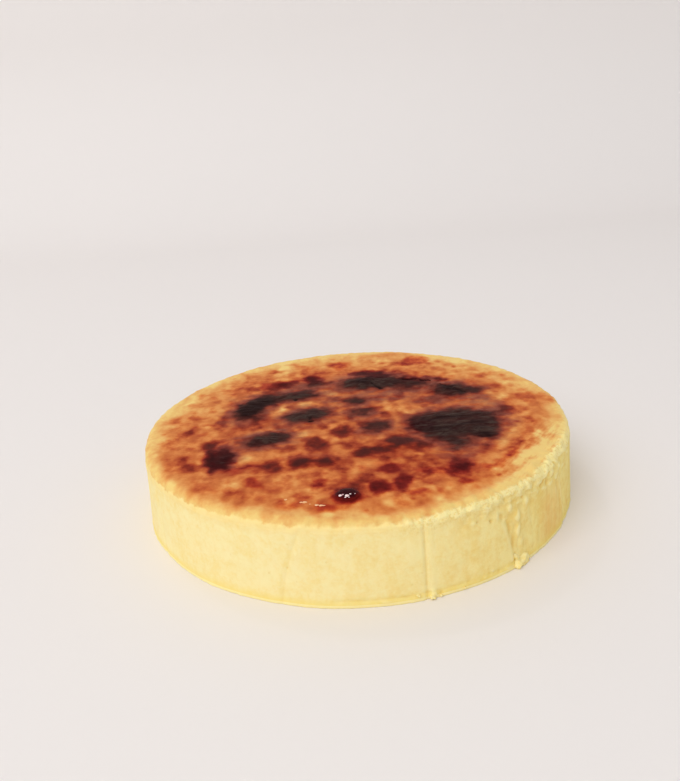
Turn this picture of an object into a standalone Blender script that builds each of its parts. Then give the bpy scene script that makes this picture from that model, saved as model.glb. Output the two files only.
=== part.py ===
"""A whole round cheesecake with a scorched top, as turned out of a paper-lined tin.

The cake is one solid. It starts as a turned outline. Each of its points is then moved by what
baking and the lining paper did to it: the top sank, its skin swelled and blistered under the
darkest patches, the rim tore at the right front, and the paper pressed folds into the wall.

Units are metres and degrees. The cake stands on z = 0 with its axis on Z. A bearing is 0 at the
front, which is -Y, and grows towards +X.
"""

import math
from collections import namedtuple

import bpy
from mathutils import Matrix, Vector, noise

Fold = namedtuple("Fold", "foot rim half depth step")
Blister = namedtuple("Blister", "x y length width turn rise")

# The turned outline
BASE_RADIUS = 0.0905
TOP_RADIUS = 0.0892
HEIGHT = 0.0330
RIM_ROUND = 0.0038
FOOT_ROUND = 0.0010
SINK = 0.0013  # how far the middle of the top lies below its rim

# How finely the outline is divided. Its columns stand closest together at the torn rim.
COLUMNS = 176
CROWD = 18.0  # degrees by which columns are drawn towards CROWD_BEARING
CROWD_BEARING = 38.0
TOP_RINGS = 13
RING_SPREAD = 0.85  # below 1, the rings of the top lie closer towards the rim
RIM_STEPS = 4
WALL_RINGS = 8
FOOT_STEPS = 2

# Soft unevenness of the skin and of the wall
SKIN_SWELL = 0.00045
SKIN_SWELL_SPAN = 0.024
RIM_CALM = 0.7  # how much of the skin's unevenness is lost on the rim
WALL_SWELL = 0.00050
WALL_SWELL_SPAN = 0.032

# The shoulder slopes down towards the torn rim
SLUMP = 0.0009
SLUMP_WIDTH = 0.0110
SLUMP_FROM = 0.0
SLUMP_TO = 75.0
SLUMP_FADE = 22.0

# Folds that the paper pressed into the wall: their bearings at the foot and the rim, their half
# width and depth, and how far the wall steps in beyond them. A step returns over STEP_RETURN degrees.
FOLDS = (
    Fold(foot=-19.5, rim=-13.5, half=0.0017, depth=0.0003, step=0.0001),
    Fold(foot=12.5, rim=12.2, half=0.0010, depth=0.0011, step=0.0002),
    Fold(foot=36.5, rim=29.5, half=0.0018, depth=0.0008, step=0.0012),
    Fold(foot=60.5, rim=55.5, half=0.0014, depth=0.0005, step=0.0004),
    Fold(foot=88.0, rim=84.0, half=0.0012, depth=0.0008, step=0.0006),
    Fold(foot=117.5, rim=123.0, half=0.0016, depth=0.0006, step=0.0008),
    Fold(foot=154.0, rim=152.5, half=0.0011, depth=0.0010, step=0.0003),
    Fold(foot=-168.0, rim=-163.5, half=0.0017, depth=0.0006, step=0.0007),
    Fold(foot=-131.0, rim=-134.0, half=0.0012, depth=0.0009, step=0.0004),
    Fold(foot=-98.5, rim=-94.0, half=0.0015, depth=0.0006, step=0.0006),
    Fold(foot=-59.0, rim=-62.0, half=0.0018, depth=0.0003, step=0.0001),
)
STEP_RETURN = 16.0
FOLD_BEND = 1.6
FOLD_FADE_FROM = 0.0265  # the height above which the folds fade out towards the rim
FOLD_FADE_TO = 0.0325
GATHER_COLUMNS = 4  # columns on each side of a fold that are drawn towards it

# The seam just above the foot, where the paper turned from the wall to the floor of the tin
SEAM_HEIGHT = 0.0028
SEAM_HALF = 0.0009
SEAM_DEPTH = 0.0004
SEAM_FROM = -6.0
SEAM_TO = 37.0
SEAM_FADE = 4.0

# Shares of the flat top's radius: where columns start and end being drawn to the folds, where the
# wall's unevenness starts to be felt, and where the rim's crags start
DRAWN_FROM = 0.55
DRAWN_TO = 0.9
EDGE_FROM = 0.9
CRAG_FROM = 0.95

# The torn rim at the right front
TEAR_FROM = 14.0
TEAR_TO = 66.0
TEAR_FADE = 5.0
TEAR_RISE = 0.0007
TEAR_SPAN = 0.0040  # the size of its crags

# The lumpy wall under it
LUMP_RISE = 0.0004
LUMP_SPAN = 0.0046
LUMP_FROM = 30.0
LUMP_TO = 60.0
LUMP_FADE = 6.0
LUMP_FOOT = 0.0150
LUMP_CROWN = 0.0250

# Blisters of the skin, under the darkest patches: middle, half length and width, turn and rise
BLISTERS = (
    Blister(x=0.0420, y=-0.0140, length=0.0210, width=0.0180, turn=-25.0, rise=0.0011),
    Blister(x=0.0120, y=0.0430, length=0.0220, width=0.0110, turn=-12.0, rise=0.0010),
    Blister(x=0.0450, y=0.0250, length=0.0120, width=0.0080, turn=-35.0, rise=0.0009),
    Blister(x=-0.0460, y=0.0170, length=0.0150, width=0.0085, turn=75.0, rise=0.0010),
    Blister(x=-0.0260, y=0.0300, length=0.0130, width=0.0060, turn=10.0, rise=0.0007),
    Blister(x=-0.0210, y=0.0040, length=0.0105, width=0.0090, turn=15.0, rise=0.0009),
    Blister(x=-0.0370, y=-0.0170, length=0.0110, width=0.0075, turn=30.0, rise=0.0008),
    Blister(x=-0.0550, y=-0.0330, length=0.0125, width=0.0070, turn=105.0, rise=0.0008),
    Blister(x=-0.0180, y=-0.0410, length=0.0130, width=0.0060, turn=-8.0, rise=0.0006),
    Blister(x=0.0170, y=-0.0300, length=0.0110, width=0.0065, turn=-12.0, rise=0.0006),
    Blister(x=-0.0060, y=-0.0705, length=0.0062, width=0.0055, turn=0.0, rise=0.0009),
)
BLISTER_CROWN = 0.25  # in its own half size, where a blister starts to fall away
BLISTER_EDGE = 1.25

# A scrap of the wall that the paper pulled out at the foot
SCRAP_BEARING = 38.4
SCRAP_WIDTH = 0.0046
SCRAP_THICKNESS = 0.0030
SCRAP_HEIGHT = 0.0050
SCRAP_PROUD = 0.0009  # how far it stands out from the wall
SCRAP_TAPER = 0.5
SCRAP_LEAN = 12.0
SCRAP_TWIST = 8.0
SCRAP_BEVEL = 0.0005
SCRAP_BEVEL_SEGMENTS = 2

CAKE_COLOUR = (0.86, 0.72, 0.36, 1.0)
CAKE_ROUGHNESS = 0.55
SHARP_ANGLE = 50.0
MERGE_DISTANCE = 0.00001


def smooth(value, low, high):
    """0 below low, 1 above high, and a smooth step between."""
    share = min(1.0, max(0.0, (value - low) / (high - low)))
    return share * share * (3.0 - 2.0 * share)


def window(bearing, start, end, fade):
    """1 between two bearings, fading to 0 outside them."""
    return smooth(bearing, start - fade, start) * (1.0 - smooth(bearing, end, end + fade))


def bearing_gap(bearing, other):
    """Degrees from other to bearing, from -180 to 180."""
    return (bearing - other + 180.0) % 360.0 - 180.0


def clear_scene():
    for obj in list(bpy.data.objects):
        bpy.data.objects.remove(obj, do_unlink=True)


def top_level(radius):
    """Height of the even, sunken top before its swells."""
    inner = TOP_RADIUS - RIM_ROUND
    return HEIGHT - SINK * (1.0 - min(1.0, radius / inner) ** 2) ** 2


def wall_radius(height):
    """Radius of the even wall, which leans in a little towards the rim."""
    share = height / HEIGHT
    return BASE_RADIUS + (TOP_RADIUS - BASE_RADIUS) * share


def outline():
    """The turned outline, from the middle of the top, down the wall, to the middle of the base."""
    points = []
    inner = TOP_RADIUS - RIM_ROUND
    shoulder = HEIGHT - RIM_ROUND
    for ring in range(TOP_RINGS):
        radius = inner * (ring / TOP_RINGS) ** RING_SPREAD
        points.append((radius, top_level(radius)))
    for step in range(RIM_STEPS + 1):
        turn = math.radians(90.0 * (1.0 - step / RIM_STEPS))
        points.append((inner + RIM_ROUND * math.cos(turn), shoulder + RIM_ROUND * math.sin(turn)))
    seam = (SEAM_HEIGHT + SEAM_HALF, SEAM_HEIGHT, SEAM_HEIGHT - SEAM_HALF)
    for ring in range(1, WALL_RINGS):
        height = shoulder + (seam[0] - shoulder) * ring / WALL_RINGS
        points.append((wall_radius(height), height))
    for height in seam:
        points.append((wall_radius(height), height))
    for step in range(FOOT_STEPS + 1):
        turn = math.radians(90.0 * step / FOOT_STEPS)
        inset = FOOT_ROUND * (1.0 - math.cos(turn))
        points.append((BASE_RADIUS - inset, FOOT_ROUND * (1.0 - math.sin(turn))))
    points.append((0.0, 0.0))
    return points


def turned(name, profile):
    """A mesh object turned from a profile of (radius, height) points."""
    line = bpy.data.meshes.new(name + "_outline")
    line.from_pydata(
        [(radius, 0.0, height) for radius, height in profile],
        [(i, i + 1) for i in range(len(profile) - 1)],
        [],
    )
    guide = bpy.data.objects.new(name + "_outline", line)
    bpy.context.scene.collection.objects.link(guide)
    screw = guide.modifiers.new("turn", "SCREW")
    screw.axis = "Z"
    screw.angle = math.tau
    screw.steps = COLUMNS
    screw.render_steps = COLUMNS
    screw.use_merge_vertices = True
    screw.merge_threshold = MERGE_DISTANCE
    bpy.context.view_layer.update()
    graph = bpy.context.evaluated_depsgraph_get()
    mesh = bpy.data.meshes.new_from_object(guide.evaluated_get(graph))
    mesh.name = name
    bpy.data.objects.remove(guide, do_unlink=True)
    return bpy.data.objects.new(name, mesh)


def fold_bearing(fold, height):
    """A fold's bearing at a height. It bends most near the rim."""
    return fold.foot + (fold.rim - fold.foot) * (height / HEIGHT) ** FOLD_BEND


def crowded(column):
    """The bearing of a column where no fold is near."""
    even = 360.0 * column / COLUMNS
    return even - CROWD * math.sin(math.radians(even - CROWD_BEARING))


def home_column(fold):
    """The column that runs along a fold."""
    middle = (fold.foot + fold.rim) / 2.0
    return min(range(COLUMNS), key=lambda column: abs(bearing_gap(crowded(column), middle)))


def gathered(column, height, homes):
    """The bearing of a column, with those by each fold drawn to its line and its two edges."""
    for fold, home in homes.items():
        steps = (column - home + COLUMNS // 2) % COLUMNS - COLUMNS // 2
        if abs(steps) >= GATHER_COLUMNS:
            continue
        line = fold_bearing(fold, height)
        half = math.degrees(fold.half / BASE_RADIUS)
        if abs(steps) <= 1:
            return line + half * steps
        side = math.copysign(1.0, steps)
        share = (abs(steps) - 1) / (GATHER_COLUMNS - 1)
        edge = line + half * side
        return edge + share * bearing_gap(crowded(home + side * GATHER_COLUMNS), edge)
    return crowded(column)


def wall_relief(bearing, height):
    """How far the wall stands out from its even radius."""
    around = math.radians(bearing)
    place = Vector((BASE_RADIUS * math.sin(around), -BASE_RADIUS * math.cos(around), height))
    out = WALL_SWELL * noise.noise(place / WALL_SWELL_SPAN)
    pressed = 1.0 - smooth(height, FOLD_FADE_FROM, FOLD_FADE_TO)
    for fold in FOLDS:
        gap = bearing_gap(bearing, fold_bearing(fold, height))
        away = abs(math.radians(gap)) * BASE_RADIUS
        out -= pressed * fold.depth * max(0.0, 1.0 - away / fold.half)
        if gap > 0.0:
            out -= pressed * fold.step * math.exp(-gap / STEP_RETURN) * smooth(away, 0.0, fold.half)
    lump = LUMP_RISE * noise.noise(place / LUMP_SPAN) * smooth(height, LUMP_FOOT, LUMP_CROWN)
    out += lump * window(bearing, LUMP_FROM, LUMP_TO, LUMP_FADE)
    seam = max(0.0, 1.0 - abs(height - SEAM_HEIGHT) / SEAM_HALF)
    return out - SEAM_DEPTH * seam * window(bearing, SEAM_FROM, SEAM_TO, SEAM_FADE)


def skin_relief(x, y):
    """How far the top's skin stands above its even level."""
    up = SKIN_SWELL * noise.noise(Vector((x, y, 0.0)) / SKIN_SWELL_SPAN)
    for blister in BLISTERS:
        offset = Vector((x - blister.x, y - blister.y))
        offset.rotate(Matrix.Rotation(-math.radians(blister.turn), 2))
        away = math.hypot(offset.x / blister.length, offset.y / blister.width)
        up += blister.rise * (1.0 - smooth(away, BLISTER_CROWN, BLISTER_EDGE))
    return up


def rim_relief(bearing, x, y):
    """How far the rim stands above its even level: its slump, and the crags where it tore."""
    crag = 0.5 + noise.noise(Vector((x, y, 0.0)) / TEAR_SPAN)
    inner = TOP_RADIUS - RIM_ROUND
    radius = math.hypot(x, y)
    slump = SLUMP * window(bearing, SLUMP_FROM, SLUMP_TO, SLUMP_FADE)
    tear = TEAR_RISE * crag * window(bearing, TEAR_FROM, TEAR_TO, TEAR_FADE)
    tear *= smooth(radius, inner * CRAG_FROM, inner)
    return tear - slump * smooth(radius, inner - SLUMP_WIDTH, inner)


def shape_cake(mesh):
    """Moves each point of the turned outline to where it is on the baked cake."""
    inner = TOP_RADIUS - RIM_ROUND
    homes = {fold: home_column(fold) for fold in FOLDS}
    for vertex in mesh.vertices:
        x, y, height = vertex.co
        radius = math.hypot(x, y)
        upper = smooth(height, HEIGHT - RIM_ROUND, HEIGHT - SINK)
        if radius > 0.0:
            column = round(math.degrees(math.atan2(x, -y)) * COLUMNS / 360.0)
            bearing = crowded(column)
            drawn = 1.0 - upper * (1.0 - smooth(radius, inner * DRAWN_FROM, inner * DRAWN_TO))
            bearing += bearing_gap(gathered(column, height, homes), bearing) * drawn
            radius += wall_relief(bearing, height) * smooth(radius, inner * EDGE_FROM, inner)
            x = radius * math.sin(math.radians(bearing))
            y = -radius * math.cos(math.radians(bearing))
            height += upper * rim_relief(bearing, x, y)
        calm = RIM_CALM * smooth(radius, inner * CRAG_FROM, inner)
        height += upper * (1.0 - calm) * skin_relief(x, y)
        vertex.co = (x, y, height)


def centre(mesh):
    """Moves the cake so that the middle of its footprint is on the axis."""
    across = [vertex.co.x for vertex in mesh.vertices]
    along = [vertex.co.y for vertex in mesh.vertices]
    middle = Vector((min(across) + max(across), min(along) + max(along), 0.0)) / 2.0
    mesh.transform(Matrix.Translation(-middle))


def make_scrap():
    """The pulled-out scrap at the foot: a small wedge, leaning in, most of it inside the wall."""
    bpy.ops.mesh.primitive_cube_add(size=1.0)
    scrap = bpy.context.object
    scrap.name = "foot_scrap"
    scrap.hide_render = True
    scrap.display_type = "WIRE"
    lean = math.tan(math.radians(SCRAP_LEAN))
    for vertex in scrap.data.vertices:
        share = vertex.co.z + 0.5
        vertex.co.x *= SCRAP_WIDTH * (1.0 - (1.0 - SCRAP_TAPER) * share)
        vertex.co.y = vertex.co.y * SCRAP_THICKNESS + share * SCRAP_HEIGHT * lean
        vertex.co.z = share * SCRAP_HEIGHT
    around = math.radians(SCRAP_BEARING)
    wall = BASE_RADIUS + wall_relief(SCRAP_BEARING, SCRAP_HEIGHT / 2.0)
    reach = wall + SCRAP_PROUD - SCRAP_THICKNESS / 2.0
    scrap.location = (reach * math.sin(around), -reach * math.cos(around), 0.0)
    scrap.rotation_euler.z = around + math.radians(SCRAP_TWIST)
    bevel = scrap.modifiers.new("soft_edges", "BEVEL")
    bevel.width = SCRAP_BEVEL
    bevel.segments = SCRAP_BEVEL_SEGMENTS
    return scrap


def cake_material():
    material = bpy.data.materials.new("baked_custard")
    material.use_nodes = True
    shader = material.node_tree.nodes["Principled BSDF"]
    shader.inputs["Base Color"].default_value = CAKE_COLOUR
    shader.inputs["Roughness"].default_value = CAKE_ROUGHNESS
    shader.inputs["Metallic"].default_value = 0.0
    return material


def fuse(cake, scrap):
    """Fuses the scrap to the cake, so that the cake stays one solid."""
    union = cake.modifiers.new("fuse_scrap", "BOOLEAN")
    union.operation = "UNION"
    union.object = scrap
    union.solver = "EXACT"


def collection(name):
    """A new collection of the scene."""
    holder = bpy.data.collections.new(name)
    bpy.context.scene.collection.children.link(holder)
    return holder


def make_cake():
    cake = turned("cheesecake", outline())
    shape_cake(cake.data)
    centre(cake.data)
    cake.data.materials.append(cake_material())
    cake.data.shade_smooth()
    cake.data.set_sharp_from_angle(angle=math.radians(SHARP_ANGLE))
    collection("basque_cheesecake").objects.link(cake)

    scrap = make_scrap()
    for holder in list(scrap.users_collection):
        holder.objects.unlink(scrap)
    collection("fused_pieces").objects.link(scrap)
    fuse(cake, scrap)


clear_scene()
make_cake()
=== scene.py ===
import math
import random

import bmesh
import bpy
import numpy as np
from mathutils import Matrix, Vector, noise


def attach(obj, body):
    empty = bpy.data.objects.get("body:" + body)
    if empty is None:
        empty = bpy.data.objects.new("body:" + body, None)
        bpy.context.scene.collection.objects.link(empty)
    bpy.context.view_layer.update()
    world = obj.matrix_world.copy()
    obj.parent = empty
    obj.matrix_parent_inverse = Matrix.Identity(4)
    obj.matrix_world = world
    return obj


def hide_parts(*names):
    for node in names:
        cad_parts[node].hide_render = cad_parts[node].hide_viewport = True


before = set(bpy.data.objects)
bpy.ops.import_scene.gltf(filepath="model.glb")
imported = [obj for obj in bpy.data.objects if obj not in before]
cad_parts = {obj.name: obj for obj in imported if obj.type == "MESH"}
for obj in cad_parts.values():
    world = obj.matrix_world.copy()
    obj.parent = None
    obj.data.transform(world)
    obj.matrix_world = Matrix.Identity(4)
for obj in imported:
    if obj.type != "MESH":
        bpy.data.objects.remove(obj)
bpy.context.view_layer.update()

# A whole round cheesecake with a scorched top, on a plain pale floor.
# Lengths are millimetres until a mesh is made. A bearing is 0 degrees at the front, which is -Y,
# and grows towards +X.

metre = 0.001


# Shader maths

class Wire:
    # a socket of a material, so that its maths reads as Python expressions

    def __init__(self, tree, socket=None):
        self.tree = tree
        self.socket = socket

    def node(self, kind, settings=None, inputs=None, output=0):
        # any node: its settings first, then the values or wires of its sockets
        made = self.tree.nodes.new("ShaderNode" + kind)
        for name, value in (settings or {}).items():
            if name == "stops":
                ramp = made.color_ramp.elements
                while len(ramp) < len(value):
                    ramp.new(0.5)
                for stop, (place, colour) in zip(ramp, value):
                    stop.position = place
                    stop.color = colour
            else:
                setattr(made, name, value)
        for name, value in (inputs or {}).items():
            if isinstance(value, Wire):
                self.tree.links.new(value.socket, made.inputs[name])
            else:
                made.inputs[name].default_value = value
        return Wire(self.tree, made.outputs[output])

    def maths(self, operation, *values):
        return self.node("Math", {"operation": operation}, dict(enumerate(values)))

    def __add__(self, other):
        return self.maths("ADD", self, other)

    def __sub__(self, other):
        return self.maths("SUBTRACT", self, other)

    def __mul__(self, other):
        return self.maths("MULTIPLY", self, other)

    def __truediv__(self, other):
        return self.maths("DIVIDE", self, other)

    def __rsub__(self, other):
        return self.maths("SUBTRACT", other, self)

    def __rtruediv__(self, other):
        return self.maths("DIVIDE", other, self)

    def __neg__(self):
        return self.maths("MULTIPLY", self, -1.0)

    __radd__ = __add__
    __rmul__ = __mul__

    def step(self, low, high):
        # 0 below low and 1 above high, with a smooth step between
        inputs = {"Value": self, "From Min": low, "From Max": high}
        return self.node("MapRange", {"interpolation_type": "SMOOTHSTEP"}, inputs)

    def over(self, below, above):
        # this wire as a mask: the colour above where it is 1, the colour below where it is 0
        return self.node("Mix", {"data_type": "RGBA"}, {0: self, 6: below, 7: above}, 2)

    def ramp(self, stops):
        return self.node("ValToRGB", {"stops": stops}, {0: self})

    def value(self, name):
        # a value that the mesh holds at each of its points
        return self.node("Attribute", {"attribute_name": name}, {}, 2)

    def millimetres(self):
        # the place on the piece in millimetres
        return self.node("TexCoord", {}, {}, 3).stretched(1.0 / metre, 1.0 / metre, 1.0 / metre)

    def stretched(self, x, y, z):
        # this wire as a place, scaled along each axis
        scales = {0: self, 1: (x, y, z)}
        return self.node("VectorMath", {"operation": "MULTIPLY"}, scales)

    def speckle(self, span, detail=2.0, roughness=0.5, turn=0.0, swirl=0.0):
        # soft noise at this place, from about 0.2 to 0.8, with patches about span wide
        inputs = {"Vector": self, "W": turn, "Scale": 1.0 / span, "Detail": detail}
        inputs.update({"Roughness": roughness, "Distortion": swirl})
        return self.node("TexNoise", {"noise_dimensions": "4D"}, inputs)

    def bumps(self, strength):
        # this wire as the height of a relief in millimetres
        return self.node("Bump", {}, {"Strength": strength, "Distance": metre, "Height": self})

    def cells(self, span, turn=0.0):
        # distance to the nearest of many scattered points about span apart
        inputs = {"Vector": self, "W": turn, "Scale": 1.0 / span}
        return self.node("TexVoronoi", {"voronoi_dimensions": "4D"}, inputs)


def tone(red, green, blue):
    # a colour picked on a screen, 0 to 255, as the linear light that a shader takes
    def linear(share):
        return share / 12.92 if share <= 0.04045 else ((share + 0.055) / 1.055) ** 2.4
    return (linear(red / 255.0), linear(green / 255.0), linear(blue / 255.0), 1.0)


def newMaterial(name):
    material = bpy.data.materials.new(name)
    material.use_nodes = True
    return material, material.node_tree.nodes["Principled BSDF"], Wire(material.node_tree)


def plug(shader, **inputs):
    # sets or links the sockets of a material's shader, whose names are written as one word here
    names = {socket.name.replace(" ", "").replace("-", ""): socket.name for socket in shader.inputs}
    for word, value in inputs.items():
        socket = shader.inputs[names[word]]
        if isinstance(value, Wire):
            value.tree.links.new(value.socket, socket)
        else:
            socket.default_value = value


# Helpers for shapes

def smooth(value, low, high):
    share = np.clip((value - low) / (high - low), 0.0, 1.0)
    return share * share * (3.0 - 2.0 * share)


def bearingGap(bearing, other):
    return (bearing - other + 180.0) % 360.0 - 180.0


def window(bearing, start, end, fade):
    # 1 between two bearings, fading to 0 over some degrees outside them
    return smooth(bearing, start - fade, start) * (1.0 - smooth(bearing, end, end + fade))


def softNoise(span, x, y, z=0.0):
    # smooth noise from about -0.6 to 0.6 at each of many places
    x, y, z = np.broadcast_arrays(x, y, z)
    places = np.stack([x.ravel(), y.ravel(), z.ravel()], axis=1) / span
    return np.array([noise.noise(place) for place in places.tolist()]).reshape(x.shape)


def meshObject(name, points, faces, material, values=None):
    mesh = bpy.data.meshes.new(name)
    mesh.from_pydata(np.asarray(points) * metre, [], faces)
    for label, numbers in (values or {}).items():
        attribute = mesh.attributes.new(label, "FLOAT", "POINT")
        attribute.data.foreach_set("value", np.asarray(numbers, dtype=np.float32).ravel())
    mesh.validate()
    mesh.shade_smooth()
    mesh.materials.append(material)
    piece = bpy.data.objects.new(name, mesh)
    bpy.context.scene.collection.objects.link(piece)
    return piece


def joinedPiece(name, shapes, material):
    # one piece from several closed shapes
    places = []
    faces = []
    for shapePlaces, shapeFaces in shapes:
        faces += [tuple(corner + len(places) for corner in face) for face in shapeFaces]
        places += shapePlaces
    return meshObject(name, places, faces, material)


# The cake's form

cake = {
    "baseRadius": 90.5,
    "topRadius": 89.2,
    "height": 33.0,
    "rimRound": 3.8,
    "footRound": 0.3,
    "sink": 1.3,            # how far the middle of the top lies below its rim
    "columns": 600,
    "crowd": 27.0,          # degrees by which columns are drawn towards the torn rim
    "crowdBearing": 38.0,
    "topRings": 92,
    "ringCrowd": 0.85,      # below 1 draws the rings of the top outwards
    "rimRings": 9,
    "wallRings": 56,
    "footRings": 2,
    "skinSwell": 0.45,
    "skinSpan": 24.0,
    "rimCalm": 0.7,
    "wallSwell": 0.50,
    "wallSpan": 32.0,
}

# folds that the lining paper pressed into the wall: bearing at the foot and at the rim, half width,
# depth, and how far the wall steps in beyond the fold
folds = [
    (-19.5, -13.5, 1.7, 0.3, 0.1),
    (12.5, 12.2, 1.0, 0.45, 0.15),
    (36.5, 29.5, 2.1, 0.45, 0.6),
    (60.5, 55.5, 1.4, 0.5, 0.4),
    (88.0, 84.0, 1.2, 0.8, 0.6),
    (117.5, 123.0, 1.6, 0.6, 0.8),
    (154.0, 152.5, 1.1, 1.0, 0.3),
    (-168.0, -163.5, 1.7, 0.6, 0.7),
    (-131.0, -134.0, 1.2, 0.9, 0.4),
    (-98.5, -94.0, 1.5, 0.6, 0.6),
    (-59.0, -62.0, 1.8, 0.3, 0.1),
]

# a window is the two bearings between which something lies, and the degrees over which it fades beyond
# them; a pair of heights is where something starts to grow or fade and where it stops
wall = {
    "stepReturn": 16.0,     # degrees over which a fold's step comes back out
    "foldBend": 1.6,
    "foldFade": (26.5, 32.5),
    "foldColumns": 3,       # columns in each half of a fold
    "gather": 10.0,         # degrees on each side of a fold in which columns are drawn towards it
    "foldLip": 0.12,        # a soft lip beside the sharp fold
    "foldLipAside": 2.2,
    "foldLipHalf": 1.1,
    "seamHeight": 2.8,
    "seamHalf": 0.9,
    "seamDepth": 0.4,
    "seamWindow": (-6.0, 37.0, 4.0),
    "seamFill": 0.16,       # fills some of the seam again, here and there
    "lumpRise": 0.4,
    "lumpSpan": 4.6,
    "lumpWindow": (30.0, 60.0, 6.0),
    "lumpHeights": (15.0, 25.0),
    "lumpStray": 0.7,       # how far the outlines of the listed lumps wander
    "grainRise": 0.10,
    "grainSpan": 5.0,
    "streakRise": 0.18,
    "streakSpan": 3.0,
    "streakWindow": (38.0, 60.0, 5.0),
    "streakFade": (25.0, 29.0),
    "crumblyRise": 0.55,    # finer lumps high on the torn wall
    "crumblySpan": 2.4,
    "crumblyWindow": (24.0, 64.0, 6.0),
    "crumblyHeights": (19.0, 27.0),
    "smear": 0.34,          # how far the foot spreads over what it stands on, here and there
    "smearSpan": 3.2,
    "smearLess": 0.06,      # how much of the spread is left out
    "smearHeights": (0.3, 1.6),
    "tornLip": 0.35,        # how far the torn lip at the rim stands out
    "tornLipHeight": 30.4,
    "tornLipHalf": 1.1,
    "tornLipWindow": (10.0, 62.0, 8.0),
    "pitDepth": 0.6,
    "hollowReach": 4,       # rows and columns around a point that tell whether it lies in a hollow
}

rim = {
    "slump": 0.9,           # the shoulder slopes down towards the torn rim
    "slumpWidth": 11.0,
    "slumpWindow": (0.0, 75.0, 22.0),
    "tearRise": 0.7,
    "tearSpan": 4.0,
    "tearWindow": (14.0, 66.0, 5.0),
    "crumbRise": 0.45,      # finer crags of the torn rim
    "crumbSpan": 1.9,
    "crumbWindow": (12.0, 68.0, 5.0),
    "crumbHalf": 1.8,
    "ridge": 0.30,          # how far the custard stands up beside the skin on the torn side
    "ridgeHalf": 0.8,
    "roughness": 0.44,      # unevenness all round the rim
    "wrinkleRise": 0.34,    # wrinkles of the charred skin
}

# blisters of the skin: middle, half length and half width, turn, rise
blisters = [
    (42, -14, 21, 18, -25, 1.1), (12, 43, 22, 11, -12, 1), (45, 25, 12, 8, -35, 0.9),
    (-46, 17, 15, 8.5, 75, 1), (-26, 30, 13, 6, 10, 0.7), (-21, 4, 10.5, 9, 15, 0.9),
    (-37, -17, 11, 7.5, 30, 0.8), (-55, -33, 12.5, 7, 105, 0.8), (-18, -41, 13, 6, -8, 0.6),
    (17, -30, 11, 6.5, -12, 0.6), (-6, -70.5, 6.2, 5.5, 0, 0.9),
]

# lumps (above 0) and hollows of the torn wall: bearing, height, half width, half height, turn, rise
lumps = [
    (34.1, 25.4, 1.2, 1.4, 20, 0.84), (36.8, 20.4, 1.9, 2.4, 10, 0.95), (37, 15, 1.5, 2.8, -4, 0.75),
    (37.4, 28.6, 1.8, 1.2, -20, 0.63), (41, 29.4, 1.8, 1, 15, 0.63), (44.6, 28.6, 1.6, 1.2, 0, 0.49),
    (40, 24.6, 1.4, 2.8, 6, 0.49), (48.2, 29.6, 2, 1.2, 10, 0.7), (51.4, 28, 1.5, 1.4, 8, 0.63),
    (56.4, 28.4, 1.5, 1.5, -4, 0.7), (53.8, 24.6, 1.4, 0.9, 0, 0.49), (50.2, 24.4, 1.2, 1, 0, 0.42),
    (27.6, 28.8, 2.4, 0.9, 8, 0.42), (20, 29.2, 2.6, 0.8, -4, 0.31), (24, 2.6, 3, 0.9, 12, 0.28),
    (59.8, 8.4, 1.2, 2.6, -6, 0.42), (33.6, 2.2, 1.8, 1, 0, 0.28), (38.2, 9, 1.4, 2.6, 0, 0.35),
    (31.2, 27, 2.4, 1.3, -8, -0.5), (31.6, 23.2, 0.9, 2.4, 24, -0.63), (34, 17.4, 0.8, 3.2, 14, -0.56),
    (35.2, 10.6, 0.8, 4, 3, -0.49), (28.8, 23, 0.7, 0.7, 0, -0.49), (42.4, 18, 1.5, 6, 4, -0.31),
    (49.4, 26, 1.2, 1.4, 0, -0.56), (52.6, 26.4, 1.1, 1.1, 0, -0.56), (55.4, 20, 0.9, 3.2, 10, -0.42),
    (57.4, 12.6, 0.9, 4.6, 10, -0.56), (53.8, 30.6, 1, 0.9, 0, -0.98), (46.4, 26.4, 1, 1.2, 0, -0.42),
    (36, 4.6, 0.9, 2.2, 0, -0.42), (16, 16, 2.4, 3, 0, 0.17), (22, 9, 2.8, 3, 20, -0.17),
    (13.9, 2.4, 1.3, 1.6, 0, 0.5), (15.8, 1.4, 1, 0.7, 10, -0.4), (21.4, 3, 0.5, 0.5, 0, 0.4),
    (26.6, 2.6, 1.1, 0.8, 20, 0.4), (28.6, 3.8, 0.9, 0.7, 0, 0.35), (30.4, 2.4, 0.9, 0.8, 0, -0.35),
    (10.4, 2.8, 0.8, 0.5, 0, 0.45), (7.6, 2.6, 1.6, 0.5, 0, -0.25), (3, 2.2, 2.6, 0.6, 4, 0.25),
]

# pits of the wall: bearing, height, radius
pits = [
    (47.5, 27.3, 0.7), (33, 28.8, 0.6), (38.8, 26.6, 0.6), (42.6, 26.8, 0.6), (28.6, 22.8, 0.5),
    (25, 24.5, 0.4), (54, 30.4, 0.7),
]

# where the browned skin ends at each bearing, in mm of skin in from the shoulder, over how many mm
# it blends into the pale wall, and how wide the golden band inside it is
skinEdge = {
    "bearing": [-180, -165, -135, -105, -75, -45, -15, 0, 15, 30, 45, 60, 75, 90, 105, 135, 165, 180],
    "edge": [2.4, 2.4, 2.2, 1.8, 1.2, 1.2, 1.9, 2.4, 2.8, 3.4, 3.8, 5.8, 4.6, 2.8, 2.0, 1.6, 1.6, 2.2],
    "blend": [1.4, 1.4, 1.2, 0.9, 0.45, 0.45, 0.8, 1.2, 0.9, 0.6, 0.6, 0.8, 1.4, 2.0, 1.8, 1.4, 1.4, 1.4],
    "gold": [30, 30, 19, 32, 14, 6, 11, 10, 9, 12, 20, 22, 15, 9, 22, 26, 28, 30],
}

inner = cake["topRadius"] - cake["rimRound"]
shoulder = cake["height"] - cake["rimRound"]
columns = cake["columns"]


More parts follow.
